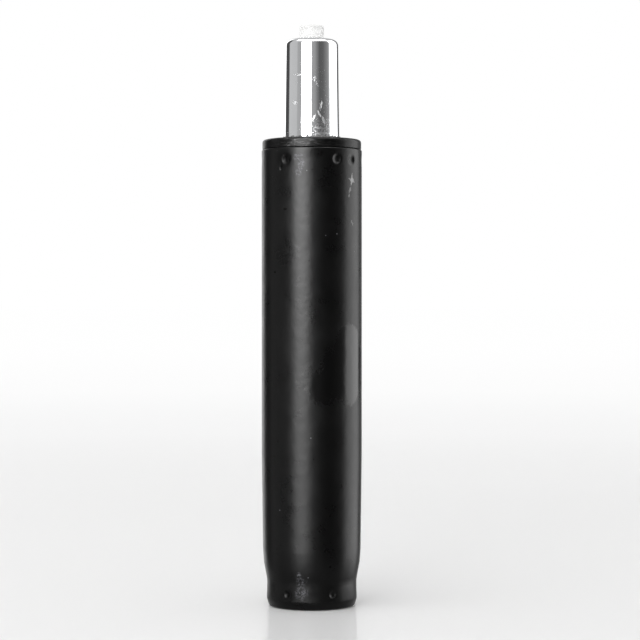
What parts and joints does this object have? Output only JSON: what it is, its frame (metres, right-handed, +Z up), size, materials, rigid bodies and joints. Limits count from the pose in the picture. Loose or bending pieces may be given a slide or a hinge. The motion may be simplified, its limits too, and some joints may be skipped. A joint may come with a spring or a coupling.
{
  "type": "chair gas lift cylinder",
  "caption": "Gas lift cylinder for a swivel chair: a chromed tube with a white release button slides and turns in a black tapered column that stands in the chair's base.",
  "frame": {"origin": "centre of the column's foot ring, at the bottom of the part, which stands on it", "axes": "+Z up along the lift's axis, -Y to the front, the side that the picture shows, +X to the right"},
  "size_m": [0.05, 0.05, 0.289],
  "materials": {
    "black_powder_coat": "satin",
    "black_plastic": "satin",
    "chrome": "polished",
    "white_plastic": "satin",
    "natural_plastic": "satin",
    "steel": "satin",
    "bearing_steel": "polished",
    "spring_steel": "satin",
    "aluminium": "satin",
    "brass": "satin",
    "black_rubber": "matte"
  },
  "bodies": {
    "column": {"outer_tube": "black_powder_coat", "guide_bush": "black_plastic", "base_plug": "steel", "lower_race": "bearing_steel"},
    "bearing": {"ball_cage": "brass", "bearing_balls": "bearing_steel"},
    "rod": {"piston_rod": "chrome", "upper_race": "bearing_steel", "bumper_washer": "steel", "bumper": "black_rubber", "rod_washer": "steel", "rod_clip": "spring_steel", "piston": "aluminium", "piston_seal": "black_rubber", "piston_washers": "steel", "piston_nut": "steel"},
    "cylinder": {"pressure_tube": "chrome", "inner_tube": "steel", "rod_guide": "aluminium", "rod_seal": "black_rubber", "backup_ring": "natural_plastic", "flow_ring": "aluminium", "valve_body": "aluminium", "valve_body_seals": "black_rubber", "stem_seals": "black_rubber", "stem_bush": "natural_plastic", "valve_retainer": "white_plastic"},
    "release": {"valve_pin": "bearing_steel", "release_button": "white_plastic"}
  },
  "joints": [
    {"name": "seat_swivel", "type": "hinge", "parent": "column", "child": "rod", "pos_m": [0, 0, 0.0147], "axis": [0, 0, 1], "continuous": true},
    {"name": "bearing_roll", "type": "hinge", "parent": "column", "child": "bearing", "pos_m": [0, 0, 0.0147], "axis": [0, 0, 1], "continuous": true},
    {"name": "lift", "type": "slide", "parent": "rod", "child": "cylinder", "axis": [0, 0, 1], "range_m": [0, 0.14]},
    {"name": "release_press", "type": "slide", "parent": "cylinder", "child": "release", "axis": [0, 0, -1], "range_m": [0, 0.003], "stiffness_N_per_m": 5000}
  ],
  "couplings": [
    {"joint": "bearing_roll", "follows": "seat_swivel", "ratio": 0.5}
  ]
}
